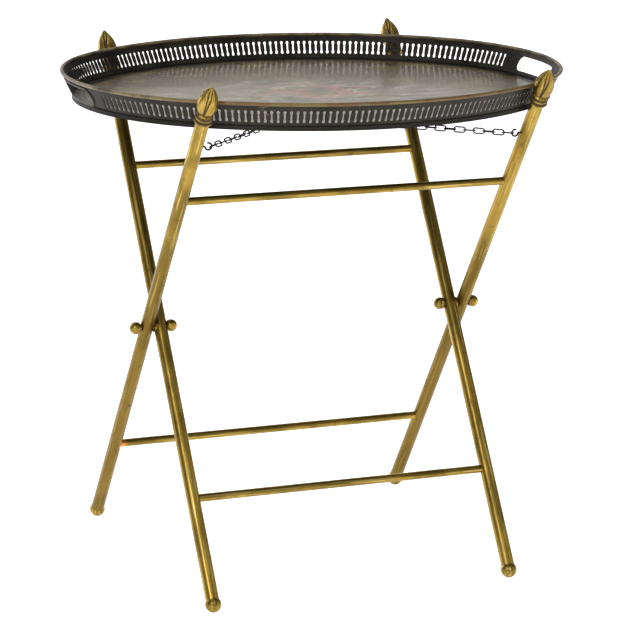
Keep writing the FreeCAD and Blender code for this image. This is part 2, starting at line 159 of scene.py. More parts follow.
class Look:
    """One material: a Principled shader and the patterns that feed it."""

    def __init__(self, name, **constants):
        self.material = bpy.data.materials.new(name)
        self.material.use_nodes = True
        self.tree = self.material.node_tree
        self.shader = self.tree.nodes["Principled BSDF"]
        for key, value in constants.items():
            self.shader.inputs[key.replace("_", " ")].default_value = value

    def put(self, target, value):
        """Links a pattern to a socket, or sets a number or colour on it."""
        if isinstance(value, Value):
            self.tree.links.new(value.socket, target)
        elif isinstance(value, (tuple, list)) and target.type == "RGBA":
            target.default_value = (*value, 1.0)
        else:
            target.default_value = value

    def node(self, kind, settings=None, inputs=None, output=0):
        """Adds a node of any kind: its settings first, then its inputs."""
        made = self.tree.nodes.new(kind)
        for key, value in (settings or {}).items():
            setattr(made, key, value)
        for key, value in (inputs or {}).items():
            self.put(made.inputs[key], value)
        return Value(self, made.outputs[output])

    def place(self):
        """X, Y and Z of the point, in metres."""
        coordinates = self.node("ShaderNodeTexCoord", output="Object")
        split = self.node("ShaderNodeSeparateXYZ", inputs={"Vector": coordinates})
        outputs = split.socket.node.outputs
        return [Value(self, outputs[i]) for i in range(3)]

    def vector(self, x, y, z):
        return self.node("ShaderNodeCombineXYZ", inputs={0: x, 1: y, 2: z})

    def noise(self, point, scale, detail=3.0, roughness=0.55, distortion=0.0):
        inputs = {
            "Vector": point, "Scale": scale, "Detail": detail,
            "Roughness": roughness, "Distortion": distortion,
        }
        return self.node("ShaderNodeTexNoise", {"noise_dimensions": "3D"}, inputs)

    def mix(self, share, first, second):
        """The first colour where share is 0, the second where it is 1."""
        settings = {"data_type": "RGBA", "blend_type": "MIX"}
        made = self.node("ShaderNodeMix", settings, {0: share}, output=2)
        inputs = made.socket.node.inputs
        self.put(inputs[6], first)
        self.put(inputs[7], second)
        return made

    def attribute(self, name):
        return self.node("ShaderNodeAttribute", {"attribute_name": name}, output="Fac")

    def finish(self, colour, roughness=None, metallic=None, height=None, depth=0.0, coat=None):
        """Joins patterns to the shader. height is a relief that stands depth metres high where
        it is 1."""
        wanted = {
            "Base Color": colour, "Roughness": roughness, "Metallic": metallic, "Coat Weight": coat,
        }
        for key, value in wanted.items():
            if value is not None:
                self.put(self.shader.inputs[key], value)
        if height is not None:
            inputs = {"Height": height, "Distance": depth, "Strength": 1.0}
            self.put(self.shader.inputs["Normal"], self.node("ShaderNodeBump", inputs=inputs))
        return self.material


# ---- brass and iron ----
GOLD = (0.42, 0.275, 0.052)
# pale gold of the painted highlight streaks along the brass
HIGHLIGHT_PALE_GOLD = (0.68, 0.51, 0.16)
OLIVE = (0.21, 0.140, 0.026)
TARNISH = (0.12, 0.060, 0.016)
SOOT = (0.030, 0.020, 0.010)
VERDIGRIS = (0.17, 0.18, 0.060)
COPPER = (0.75, 0.30, 0.06)
DEEP_BROWN = (0.13, 0.078, 0.014)
GROOVE_DIRT = (0.055, 0.030, 0.011)
IRON_BLACK = (0.012, 0.011, 0.010)
IRON_RUST = (0.055, 0.030, 0.016)
DULL_FROM, DULL_FULL = 0.56, 0.20   # heights between which the outer legs grow duller


def spot(point, centre, radius):
    """1 at a place and 0 beyond radius of it, all in metres."""
    away = [axis - float(c) for axis, c in zip(point, centre)]
    distance = (away[0] * away[0] + away[1] * away[1] + away[2] * away[2]).root()
    return distance.rise(radius, radius * 0.35)


def brass(name, lean=0.0, along_x=False, wear=0.5, groove=None, spots=(), low=0.0):
    """Lacquered brass gone olive: drawing lines along the tube, painted pale along them as painted
    highlight streaks, cloudy tarnish, brown freckles.
    lean is how far the tube leans to the back, and along_x is for one that lies along X. spots
    are (place, radius, colour). groove names an attribute that holds dirt, and low is how much
    duller the lowest part is."""
    look = Look(name, Specular_IOR_Level=0.5)
    x, y, z = look.place()
    if along_x:
        along, across, side = x, y, z
    else:
        along = y * math.sin(lean) + z * math.cos(lean)
        across = y * math.cos(lean) - z * math.sin(lean)
        side = x
    drawn = look.vector(side, across, along * 0.03)
    cloudy = look.vector(side, across, along * 0.35)
    plain = look.vector(x, y, z)
    lines = look.noise(drawn, 420.0, 2.0)
    broad = look.noise(drawn, 150.0, 2.0)
    clouds = look.noise(cloudy, 34.0, 4.0, 0.62, 0.4)
    blotches = look.noise(plain, 95.0, 5.0, 0.65, 0.3)
    freckles = look.noise(plain, 900.0, 2.0)
    colour = look.mix(clouds.rise(0.36, 0.62), GOLD, OLIVE)
    colour = look.mix(broad.rise(0.52, 0.66) * 0.6, colour, OLIVE)
    # painted highlight: pale gold laid along the drawing lines stands in for the lamps' streaks of
    # reflection
    colour = look.mix(lines.rise(0.54, 0.66) * 0.68, colour, HIGHLIGHT_PALE_GOLD)
    colour = look.mix(blotches.rise(0.56, 0.72) * wear, colour, TARNISH)
    colour = look.mix(freckles.rise(0.66, 0.76) * 0.6 * wear, colour, SOOT)
    if low:
        colour = look.mix(z.rise(DULL_FROM, DULL_FULL) * low, colour, DEEP_BROWN)
    metallic = 1.0 - blotches.rise(0.66, 0.80) * 0.35
    for centre, radius, tint in spots:
        colour = look.mix(spot((x, y, z), centre, radius), colour, tint)
    roughness = 0.24 + clouds * 0.14 + blotches.rise(0.58, 0.75) * 0.22 + lines * 0.08
    height = lines * 0.5 + broad * 0.6 + blotches * 0.35 + freckles * 0.15
    if groove:
        dirt = look.attribute(groove)
        worn = (dirt + (blotches - 0.5) * 0.5).rise(0.25, 0.85)
        colour = look.mix(worn, colour, GROOVE_DIRT)
        roughness = roughness + worn * 0.3
        metallic = metallic - worn * 0.6
    return look.finish(colour, roughness, metallic, height, 0.00006)


def leg_point(leg, reach, side=0.0, front=0.0):
    """A point near a leg's axis: reach up from the pivot, side along X, front towards -Y."""
    x, sign = LEGS[leg]
    y = sign * reach * math.sin(LEAN) - front * math.cos(LEAN)
    z = reach * math.cos(LEAN) + sign * front * math.sin(LEAN)
    return PIVOT + np.array([x + side, y, z])


def ringed_brass(name, low, high):
    """Cast brass with dirt in the grooves of two turned rings, worn bright on their tops. The
    rings follow a sine of two turns from low to high, in millimetres up the leg."""
    look = Look(name)
    x, y, z = look.place()
    plain = look.vector(x, y, z)
    blotches = look.noise(plain, 240.0, 4.0, 0.65)
    freckles = look.noise(plain, 1100.0, 2.0)
    across = abs(y - float(PIVOT[1]))
    along = across * math.sin(LEAN) + (z - float(PIVOT[2])) * math.cos(LEAN)
    ring_height = (high - low) * MM / 2.0
    wave = ((along - low * MM) * (2.0 * math.pi / ring_height)).sin()
    dirt = (wave * -0.5 + blotches * 0.5 + 0.25).rise(0.35, 0.90)
    colour = look.mix(blotches.rise(0.36, 0.60), GOLD, OLIVE)
    colour = look.mix(dirt * 0.9, colour, SOOT)
    colour = look.mix(freckles.rise(0.66, 0.74) * 0.6, colour, TARNISH)
    roughness = 0.28 + blotches * 0.2 + dirt * 0.25
    return look.finish(colour, roughness, 1.0 - dirt * 0.6, blotches + freckles * 0.3, 0.00012)


def black_iron(name):
    """Blackened wire with a little rust showing."""
    look = Look(name)
    plain = look.vector(*look.place())
    rust = look.noise(plain, 600.0, 4.0, 0.6)
    grain = look.noise(plain, 2500.0, 2.0)
    colour = look.mix(rust.rise(0.55, 0.75), IRON_BLACK, IRON_RUST)
    roughness = 0.42 + rust * 0.25
    return look.finish(colour, roughness, 0.6 - rust * 0.4, grain, 0.00005)


# ---- paint on the tray's wall ----
WALL_DARK, WALL_RUBBED = (0.006, 0.0045, 0.003), (0.024, 0.0185, 0.0115)
BAND_DARK, BAND_RUBBED = (0.004, 0.0035, 0.003), (0.010, 0.009, 0.0075)
EDGING_DARK, EDGING_RUBBED = (0.020, 0.015, 0.010), (0.060, 0.042, 0.026)
RUST_DARK, RUST_BRIGHT = (0.060, 0.026, 0.010), (0.22, 0.085, 0.026)
PAINT_BROWN = (0.030, 0.016, 0.008)
# grey of the painted sheen along the front of the tray's paint
PAINT_SHEEN_GREY = (0.024, 0.0195, 0.0125)
CHIP_PALE = (0.30, 0.25, 0.17)
SPECK_PALE = (0.26, 0.21, 0.13)
SCRAPED_PLACE = (-HALF_LENGTH * 0.52, -HALF_WIDTH * 0.93, BASE_Z + 16.0 * MM)
SCRAPED_RADIUS = 40.0 * MM


def tole_paint(name, dark, light, roughness):
    """Old dark paint on sheet: brown-black, rubbed grey, greyer along the front as a painted sheen,
    with pale chips near its edges and round one scraped place."""
    look = Look(name, Specular_IOR_Level=0.20)
    x, y, z = look.place()
    plain = look.vector(x, y, z)
    height = (z - BASE_Z) * (1.0 / TRAY_HEIGHT)
    rubbed = look.noise(plain, 24.0, 5.0, 0.62, 0.5)
    fine = look.noise(plain, 320.0, 4.0, 0.6)
    specks = look.noise(plain, 1300.0, 2.0)
    chips = look.noise(look.vector(x, y, z * 1.6), 210.0, 5.0, 0.72)
    colour = look.mix(rubbed.rise(0.38, 0.66), dark, light)
    brown = look.noise(look.vector(x + 3.0, y, z), 60.0, 4.0, 0.6)
    colour = look.mix(brown.rise(0.55, 0.75) * 0.55, colour, PAINT_BROWN)
    # painted sheen: the paint is greyed towards the front, as if it reflected the pale floor
    front = y.rise(0.02, -0.10)
    colour = look.mix(front * 0.35, colour, PAINT_SHEEN_GREY)
    near_edge = height.rise(0.30, 0.10) + height.rise(0.78, 0.95)
    scraped = spot((x, y, z), SCRAPED_PLACE, SCRAPED_RADIUS)
    chipped = (chips + near_edge * 0.04 + scraped * 0.17).rise(0.70, 0.745)
    colour = look.mix(chipped * 0.75, colour, CHIP_PALE)
    colour = look.mix(specks.rise(0.71, 0.75) * 0.5, colour, SPECK_PALE)
    rough = roughness + fine * 0.22 + chipped * 0.2
    relief = fine * 0.6 + specks * 0.2 - chipped * 0.5
    return look.finish(colour, rough, height=relief, depth=0.00008)


GILT_DULL, GILT_BROWN = (0.22, 0.175, 0.090), (0.070, 0.054, 0.028)
GILT_GOLD, GILT_ORANGE = (0.19, 0.135, 0.040), (0.17, 0.085, 0.030)
GILT_GREEN, GILT_RED = (0.12, 0.16, 0.075), (0.20, 0.055, 0.028)
GILT_GONE = (0.030, 0.025, 0.018)


def worn_gilding(name):
    """Gilding rubbed to dull beige and brown, with gold, orange, red and green left along
    the front."""
    look = Look(name)
    x, y, z = look.place()
    plain = look.vector(x, y, z)
    patches = look.noise(look.vector(x * 0.6, y * 0.6, z), 42.0, 5.0, 0.65, 0.4)
    flecks = look.noise(plain, 230.0, 4.0, 0.65)
    other = look.noise(look.vector(x + 5.0, y, z), 150.0, 4.0, 0.6)
    front = y.rise(-0.11, -0.20)
    dull = look.mix(patches.rise(0.38, 0.60), GILT_DULL, GILT_BROWN)
    bright = look.mix(patches.rise(0.42, 0.62), GILT_GOLD, GILT_ORANGE)
    bright = look.mix(other.rise(0.54, 0.64) * 0.8, bright, GILT_GREEN)
    bright = look.mix(flecks.rise(0.54, 0.64) * 0.7, bright, GILT_RED)
    colour = look.mix(front * 0.9, dull, bright)
    colour = look.mix((patches - front * 0.06).rise(0.60, 0.70) * 0.75, colour, GILT_GONE)
    rough = 0.42 + patches * 0.2
    return look.finish(colour, rough, front * 0.35, flecks, 0.0001)


# ---- lacquer on the tray's floor ----
LACQUER_OLIVE, LACQUER_BEIGE = (0.085, 0.055, 0.014), (0.165, 0.115, 0.034)
STREAK_PALE, STREAK_DARK = (0.27, 0.20, 0.09), (0.045, 0.033, 0.013)
LEAF_DARK, LEAF_PALE = (0.055, 0.105, 0.050), (0.13, 0.165, 0.085)
BUD_CREAM, BUD_RED = (0.42, 0.33, 0.20), (0.36, 0.13, 0.085)
BLOOM_PINK, BLOOM_RED = (0.38, 0.22, 0.17), (0.34, 0.12, 0.085)
BLOOM_STROKE = (0.40, 0.33, 0.24)
SPRIG_DARK, SPRIG_GOLD = (0.022, 0.017, 0.009), (0.24, 0.18, 0.075)
BAND_STROKE = (0.040, 0.030, 0.016)
WALL_FOOT_DARK = (0.012, 0.010, 0.007)
LINE_GOLD = (0.16, 0.11, 0.045)
SCRATCH_PALE = (0.34, 0.31, 0.25)
UNDERSIDE_SHADE = (0.010, 0.009, 0.007)
SPRAY_HALF_LENGTH, SPRAY_HALF_WIDTH = 0.115, 0.085


def oval_inset(x, y):
    """Distance in from the oval's outline: from the nearer end arc, or from a side arc. It is
    the arc's radius less the distance from the arc's centre."""
    ax, ay = abs(x), abs(y)
    end_x = ax - END_CENTRE
    end = END_RADIUS - (end_x * end_x + ay * ay).root()
    side_y = ay + SIDE_CENTRE
    side = SIDE_RADIUS - (ax * ax + side_y * side_y).root()
    in_side = (side_y * (END_CENTRE / SIDE_CENTRE) - ax).rise(-0.0001, 0.0001)
    return end * (1.0 - in_side) + side * in_side


def petals(look, x, y, scale, count, fullness, seed, soft):
    """Scattered rosettes: near 1 inside petals whose edge swings in and out round each centre,
    fading over soft of a cell. Returns the mask and a random number for each rosette."""
    point = look.vector(x + seed, y, 0.0)
    settings = {"voronoi_dimensions": "2D"}
    inputs = {"Vector": point, "Scale": scale, "Randomness": 0.9}
    cell = look.node("ShaderNodeTexVoronoi", settings, inputs, "Position")
    texture = cell.socket.node
    centre = look.node("ShaderNodeSeparateXYZ", inputs={0: cell}).socket.node.outputs
    dx = (x + seed) - Value(look, centre[0])
    dy = y - Value(look, centre[1])
    turn = look.node("ShaderNodeMath", {"operation": "ARCTAN2"}, {0: dy, 1: dx})
    random = look.node("ShaderNodeSeparateColor", inputs={0: Value(look, texture.outputs["Color"])})
    chance = Value(look, random.socket.node.outputs[0])
    reach = (dx * dx + dy * dy).root() * scale
    edge = fullness * (0.72 + (turn * float(count) + chance * 40.0).sin() * 0.28)
    return (edge - reach).rise(0.0, soft), chance


def painted_lacquer(name):
    """The tray's floor: glossy beige-olive lacquer laid on in streaks, a faint rubbed spray of
    pink, red and cream flowers with green leaves in the middle, dark leaves near the wall,
    and fine scratches."""
    look = Look(name, Coat_Roughness=0.14, Coat_IOR=1.45, Specular_IOR_Level=0.3)
    x, y, z = look.place()
    plain = look.vector(x, y, 0.0)
    wobble = look.noise(plain, 9.0, 3.0)
    ground = look.noise(look.vector(x * 0.5, y, 0.0), 16.0, 5.0, 0.6, 0.4)
    grain = look.noise(plain, 260.0, 4.0, 0.6)
    strokes = look.noise(look.vector(x * 0.22, y, 0.0), 120.0, 4.0, 0.65, 0.6)
    colour = look.mix(ground.rise(0.35, 0.68), LACQUER_OLIVE, LACQUER_BEIGE)
    colour = look.mix(strokes.rise(0.54, 0.70) * 0.5, colour, STREAK_PALE)
    colour = look.mix(strokes.rise(0.44, 0.32) * 0.5, colour, STREAK_DARK)
    # the spray in the middle, in an oval whose edge wanders
    px, py = x + (strokes - 0.5) * 0.02, y + (wobble - 0.5) * 0.02
    long_way = (px * px) * (1.0 / SPRAY_HALF_LENGTH**2)
    short_way = (py * py) * (1.0 / SPRAY_HALF_WIDTH**2)
    oval = (long_way + short_way).root() + (wobble - 0.5) * 0.9
    spray = oval.rise(1.0, 0.55) * 0.9
    leaf, leaf_chance = petals(look, px * 0.5, py, 52.0, 3, 0.80, 2.0, 0.45)
    colour = look.mix(leaf * spray, colour, look.mix(leaf_chance, LEAF_DARK, LEAF_PALE))
    small, small_chance = petals(look, px * 0.45, py, 58.0, 5, 0.70, 9.0, 0.45)
    small_tint = look.mix(small_chance.rise(0.3, 0.7), BUD_CREAM, BUD_RED)
    colour = look.mix(small * spray, colour, small_tint)
    bloom, bloom_chance = petals(look, px * 0.55, py, 30.0, 4, 0.75, 5.0, 0.45)
    bloom_tint = look.mix(bloom_chance.rise(0.35, 0.65), BLOOM_PINK, BLOOM_RED)
    bloom_tint = look.mix(strokes.rise(0.45, 0.62) * 0.6, bloom_tint, BLOOM_STROKE)
    colour = look.mix(bloom * oval.rise(0.80, 0.45) * 0.8, colour, bloom_tint)
    # leaves, a darker band and a thin gold line near the wall
    inset = oval_inset(x, y) - FLOOR_INSET
    band = inset.rise(14.0 * MM, 20.0 * MM) * inset.rise(70.0 * MM, 44.0 * MM)
    sprig, sprig_chance = petals(look, x, y, 46.0, 4, 0.75, 13.0, 0.25)
    sprig_tint = look.mix(sprig_chance.rise(0.5, 0.9), SPRIG_DARK, SPRIG_GOLD)
    colour = look.mix(sprig * band * (0.45 + ground.rise(0.4, 0.6) * 0.4), colour, sprig_tint)
    colour = look.mix(band * strokes.rise(0.50, 0.60) * 0.4, colour, BAND_STROKE)
    # the floor darkens to near black within about 11 mm of the wall's foot
    darker_by_wall = inset.rise(17.0 * MM, 11.0 * MM)
    colour = look.mix(darker_by_wall * 0.93, colour, WALL_FOOT_DARK)
    line = inset.rise(7.6 * MM, 8.2 * MM) * inset.rise(10.0 * MM, 9.4 * MM)
    colour = look.mix(line * ground.rise(0.45, 0.55) * 0.6, colour, LINE_GOLD)
    # scratches, and painted shade on the underside
    scratches = look.noise(look.vector(x * 0.12, y, 0.0), 420.0, 3.0, 0.7)
    cross = look.noise(look.vector(x, y * 0.12, 0.0), 380.0, 3.0, 0.7)
    scratched = scratches.rise(0.64, 0.74) + cross.rise(0.66, 0.76)
    colour = look.mix(scratched * 0.25, colour, SCRATCH_PALE)
    # painted shade: the floor's underside is made near-black
    under = (z - BASE_Z).rise(2.9 * MM, 2.4 * MM)
    colour = look.mix(under, colour, UNDERSIDE_SHADE)
    rough = 0.36 + grain * 0.15 + scratched * 0.15
    height = wobble * 2.0 + strokes * 0.10 + grain * 0.04 - scratched * 0.03
    coat = 0.12 + strokes.rise(0.42, 0.62) * 0.26 - scratched * 0.08
    coat = coat * (1.0 - spray * 0.6) * (1.0 - darker_by_wall * 0.8)
    return look.finish(colour, rough, height=height, depth=0.0002, coat=coat)


# ---- meshes ----
def quads(count, rows, columns, wrap_columns):
    """Corner numbers of the quads of count equal grids of rows by columns."""
    r = np.arange(rows - 1)
    c = np.arange(columns if wrap_columns else columns - 1)
    r, c = np.meshgrid(r, c, indexing="ij")
    next_c = (c + 1) % columns
    one = np.stack([
        r * columns + c, r * columns + next_c,
        (r + 1) * columns + next_c, (r + 1) * columns + c,
    ], -1).reshape(-1, 4)
    start = np.arange(count)[:, None, None] * rows * columns
    return (start + one).reshape(-1, 4)


def make_piece(name, grids, material, sharp=35.0, attributes=None):
    """A mesh from grids of points. Each grid has shape (..., rows, columns, 3) and a flag that
    joins its last column to its first; leading dimensions are copies. Points that meet are
    welded, and edges sharper than sharp degrees stay crisp."""
    points, faces, start = [], [], 0
    for grid, wrap in grids:
        rows, columns = grid.shape[-3], grid.shape[-2]
        flat = grid.reshape(-1, 3)
        faces.append(quads(len(flat) // (rows * columns), rows, columns, wrap) + start)
        points.append(flat)
        start += len(flat)
    mesh = bpy.data.meshes.new(name)
    mesh.from_pydata(np.concatenate(points).tolist(), [], np.concatenate(faces).tolist())
    for key, values in (attributes or {}).items():
        layer = mesh.attributes.new(key, "FLOAT", "POINT")
        layer.data.foreach_set("value", values.astype(np.float32).ravel())
    work = bmesh.new()
    work.from_mesh(mesh)
    bmesh.ops.remove_doubles(work, verts=work.verts, dist=2e-6)
    bmesh.ops.recalc_face_normals(work, faces=work.faces)
    for face in work.faces:
        face.smooth = True
    for edge in work.edges:
        edge.smooth = edge.calc_face_angle(0.0) < math.radians(sharp)
    work.to_mesh(mesh)
    work.free()
    mesh.materials.append(material)
    piece = bpy.data.objects.new(name, mesh)
    bpy.context.scene.collection.objects.link(piece)
    return piece


def wall_inset(v):
    """How far the wall stands in from the outline v metres above the base: a straight slope."""
    return RIM_RADIUS + WALL_SLOPE * (WALL_TOP - v)


# lengths round the wall are measured at this height
MIDDLE_INSET = wall_inset(15.0 * MM)
END_LENGTH = 2 * END_ANGLE * (END_RADIUS - MIDDLE_INSET)
SIDE_LENGTH = (math.pi - 2 * END_ANGLE) * (SIDE_RADIUS - MIDDLE_INSET)
AROUND = 2 * (END_LENGTH + SIDE_LENGTH)


def on_wall(u, v, w):
    """A point of the tray's wall: u metres round the oval from the middle of the right end,
    v metres above the base, w metres out from the middle of the sheet. On each arc the angle
    grows by the length along it over its radius, and the point stands that way from the arc's
    centre, at the arc's radius less the wall's inset plus w."""
    u = np.mod(u, AROUND)
    shape = np.broadcast(u, v, w).shape
    u, v, w = (np.broadcast_to(a, shape) for a in (u, v, w))
    stops = np.cumsum([END_LENGTH / 2, SIDE_LENGTH, END_LENGTH, SIDE_LENGTH])
    arc = np.searchsorted(stops, u.ravel(), side="right").reshape(shape) % 5
    centres = np.array([
        [END_CENTRE, 0], [0, -SIDE_CENTRE], [-END_CENTRE, 0], [0, SIDE_CENTRE], [END_CENTRE, 0],
    ])
    radii = np.array([END_RADIUS, SIDE_RADIUS, END_RADIUS, SIDE_RADIUS, END_RADIUS])
    angles = np.array([0, END_ANGLE, math.pi - END_ANGLE, math.pi + END_ANGLE, -END_ANGLE])
    starts = np.concatenate([[0.0], stops])
    angle = angles[arc] + (u - starts[arc]) / (radii[arc] - MIDDLE_INSET)
    radius = radii[arc] - wall_inset(v) + w
    x = centres[arc, 0] + radius * np.cos(angle)
    y = centres[arc, 1] + radius * np.sin(angle)
    return np.stack([x, y, BASE_Z + v], -1)


# steps up the side of a hole, and over the top of a slot and of a hand hole
SIDE_STEPS = 10
SLOT_STEPS = 8
HAND_STEPS = 40


def bone_outline(length, end_radius, waist, cap_steps):
    """A slot with round ends and a pinched waist, anticlockwise from its lower right corner:
    up the right side, over the top, down the left side and under the bottom. The half width
    is waist in the middle, and from 0.45 of the straight side it eases out to end_radius."""
    straight = length / 2 - end_radius
    y = np.linspace(-straight, straight, SIDE_STEPS + 1)
    swell = np.clip((np.abs(y) / straight - 0.45) / 0.55, 0, 1)
    x = waist + (end_radius - waist) * swell**2 * (3 - 2 * swell)
    turn = np.linspace(0, math.pi, cap_steps + 1)[1:-1]
    top = np.stack([end_radius * np.cos(turn), straight + end_radius * np.sin(turn)], -1)
    right = np.stack([x, y], -1)
    return np.concatenate([right, top, -right, -top])


def hand_outline(width, height, corner, top_steps):
    """A long hole with rounded corners, in the same order of points. Each side is a half turn
    whose sine and cosine are raised to 0.9, which squares it up a little."""
    turn = np.linspace(-math.pi / 2, math.pi / 2, SIDE_STEPS + 1)
    square = np.sign(np.sin(turn)) * np.abs(np.sin(turn)) ** 0.9
    x = width / 2 - corner + corner * np.cos(turn) ** 0.9
    right = np.stack([x, height / 2 * square], -1)
    along = np.linspace(width / 2 - corner, corner - width / 2, top_steps + 1)[1:-1]
    top = np.stack([along, np.full_like(along, height / 2)], -1)
    return np.concatenate([right, top, -right, -top])


def box_outline(width, low, high, top_steps):
    """A rectangle from low to high, in the same order of points."""
    y = np.linspace(low, high, SIDE_STEPS + 1)
    right = np.stack([np.full_like(y, width / 2), y], -1)
    along = np.linspace(width / 2, -width / 2, top_steps + 1)[1:-1]
    top = np.stack([along, np.full_like(along, high)], -1)
    left = np.stack([np.full_like(y, -width / 2), y[::-1]], -1)
    bottom = np.stack([along[::-1], np.full_like(along, low)], -1)
    return np.concatenate([right, top, left, bottom])


def pierced_cells(centres, width, hole, hole_height, top_steps):
    """Panels of the wall, each with one hole: rows run from the panel's border over the outer
    face to the hole's edge, through the sheet and back over the inner face to the border. A
    row's outline is the border times one less its share, plus the hole times its share."""
    border = box_outline(width, WALL_LOW, WALL_HIGH, top_steps)
    hole = hole + np.array([0.0, hole_height])
    share = np.array([0.0, 0.45, 0.9, 1.0, 1.0, 0.9, 0.45, 0.0])[:, None, None]
    half = SHEET / 2
    out = np.array([1.0, 1.0, 1.0, 0.8, -0.8, -1.0, -1.0, -1.0])[:, None] * half
    flat = border * (1 - share) + hole * share
    u = centres[:, None, None] + flat[..., 0]
    return on_wall(u, flat[..., 1], out)


def make_gallery(material):
    """The wall of the tray: a row of bone-shaped slots along each side and a hand hole in
    each end, with closed upper and lower edges."""
    radius = END_RADIUS - MIDDLE_INSET
    end_run = math.asin(PLAIN_END / radius) * radius
    run = AROUND / 2 - 2 * end_run
    count = round(run / SLOT_PITCH)
    pitch = run / count
    steps = end_run + pitch * (np.arange(count) + 0.5)
    centres = np.concatenate([steps, steps + AROUND / 2])
    slot = bone_outline(SLOT_LENGTH, SLOT_END_RADIUS, SLOT_WAIST, SLOT_STEPS)
    slots = pierced_cells(centres, pitch, slot, SLOT_MIDDLE, SLOT_STEPS)
    hand = hand_outline(HAND_WIDTH, HAND_HEIGHT, HAND_CORNER, HAND_STEPS)
    end_middles = np.array([0.0, AROUND / 2])
    ends = pierced_cells(end_middles, 2 * end_run, hand, HAND_MIDDLE, HAND_STEPS)
    parts = [(slots, True), (ends, True)]
    fine = np.concatenate([
        np.linspace(-end_run, end_run, HAND_STEPS + 1)[:-1],
        end_run + np.linspace(0, run, count * SLOT_STEPS + 1)[:-1],
    ])
    u = np.concatenate([fine, fine + AROUND / 2])[None, :]
    for v in (WALL_LOW, WALL_HIGH):
        parts.append((on_wall(u, v, np.array([[-SHEET / 2], [SHEET / 2]])), True))
    return make_piece("gallery_pierced", parts, material, 40.0)


BUD_COLUMNS = 96
BUD_ROWS = 56
BUD_SHOULDER = 3.6
BUD_TIP = 41.0
# heights and radii of the ring and neck, then of the closed petals, in millimetres
FOOT_HEIGHTS = [0.0, 0.0, 0.5, 1.5, 2.0, 2.6, 3.2]
FOOT_RADII = [0.0, 8.6, 9.2, 9.2, 8.6, 7.4, 7.3]
BELLY_HEIGHTS = [3.6, 5.0, 7.0, 9.0, 11.5, 14.5, 18.0, 22.0, 26.0, 30.0, 34.0, 37.5, 40.0, 41.0]
BELLY_RADII = [7.8, 9.3, 10.7, 11.4, 12.0, 12.2, 12.0, 11.3, 10.1, 8.3, 5.9, 3.6, 1.7, 0.0]


def turns(count):
    """A whole turn in count equal steps, as one row."""
    return np.linspace(0, 2 * math.pi, count + 1)[:-1][None, :]


def bud_shape():
    """A closed bud as (height, radius, dirt) on a grid of rows up the bud and columns round
    it, above a narrow ring and neck. Four broad petals wrap it, their edges curving in to the
    tip over four inner ones. A petal's edge is at a quarter turn times a root that closes
    towards its top; the radius is cut back in the grooves outside the edges and rises again
    along each petal's rib. dirt is 1 in the grooves and 0 on the petals."""
    body = np.linspace(0.0, 1.0, BUD_ROWS)
    body_height = BUD_SHOULDER + (BUD_TIP - BUD_SHOULDER) * body
    swell = np.interp(body_height, BELLY_HEIGHTS, BELLY_RADII)
    smoothing = np.array([1, 2, 3, 2, 1]) / 9
    swell = np.convolve(np.pad(swell, 2, mode="edge"), smoothing, "valid")
    swell[-1] = 0.0
    heights = np.concatenate([FOOT_HEIGHTS, body_height])[:, None]
    radii = np.concatenate([FOOT_RADII, swell])[:, None]
    rise = np.concatenate([np.full(len(FOOT_HEIGHTS), -1.0), body])[:, None]
    up = np.clip(rise, 0, 1)
    turn = turns(BUD_COLUMNS)
    quarter = math.pi / 2

    def petal(offset, top, spread):
        """Four petals from offset on, closing at top: whether on them, their rib, their groove."""
        lean = offset + 0.30 * up
        away = np.abs(np.mod(turn - lean + quarter / 2, quarter) - quarter / 2)
        width = quarter * spread * np.clip(1 - (up / top) ** 2.4, 0, 1) ** 0.6
        inside = width - away
        edge = np.clip(inside / 0.10 + 0.5, 0, 1)
        rib = np.exp(-((away / 0.10) ** 2))
        groove = np.exp(-((np.minimum(inside, 0) / 0.11) ** 2)) * (inside < 0.04)
        return edge, rib, groove

    outer, rib, groove = petal(math.radians(12.0), 0.97, 0.44)
    inner_rib, inner_groove = petal(math.radians(57.0), 1.08, 0.40)[1:]
    on_body = (rise > 0.0) * np.clip((1 - up) * 8, 0, 1)
    cut = (1 - outer) * 0.75 + groove * 0.75 - rib * outer * 0.25 + 0.25
    cut = cut - (1 - outer) * inner_rib * 0.30 + (1 - outer) * inner_groove * 0.4
    fluting = (1 + np.cos(turn * 20.0)) * 0.07 * np.sin(up * math.pi)
    full = radii - on_body * (np.clip(cut, 0, None) + fluting)
    dirt = on_body * np.clip(groove + (1 - outer) * (inner_groove * 0.7 + 0.25), 0, 1)
    neck = np.exp(-(((heights - 3.2) / 0.7) ** 2))
    dirt = np.clip(dirt + neck, 0, 1)
    return np.broadcast_to(heights, full.shape), np.maximum(full * (radii > 0), 0), dirt


def make_bud(leg, material):
    """The bud's grid turned about X by the leg's lean and set on the leg's collar."""
    x, sign = LEGS[leg]
    height, radius, dirt = bud_shape()
    turn = turns(BUD_COLUMNS)
    side = radius * np.cos(turn) * MM
    front = radius * np.sin(turn) * MM
    up = (BUD_SEAT[leg.split("_")[0]] + height) * MM
    points = np.stack([
        PIVOT[0] + x + side,
        PIVOT[1] + front * math.cos(LEAN) + sign * up * math.sin(LEAN),
        PIVOT[2] - sign * front * math.sin(LEAN) + up * math.cos(LEAN),
    ], -1)
    piece = make_piece("bud_" + leg, [(points, True)], material, 60.0, {"dirt": dirt})
    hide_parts("finial_bud_" + leg)
    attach(piece, leg.split("_")[0] + "_frame")


def chain_ends(front_leg, back_leg):
    """Where a chain starts and ends: a little past the wire of each eye."""
    ends = []
    for leg in (front_leg, back_leg):
        inward = -1.0 if LEGS[leg][0] > 0 else 1.0
        ends.append(leg_point(leg, EYE_REACH[leg] * MM, inward * EYE_SIDE))
    way = (ends[1] - ends[0]) / np.linalg.norm(ends[1] - ends[0])
    return ends[0] - way * EYE_HOLD, ends[1] + way * EYE_HOLD


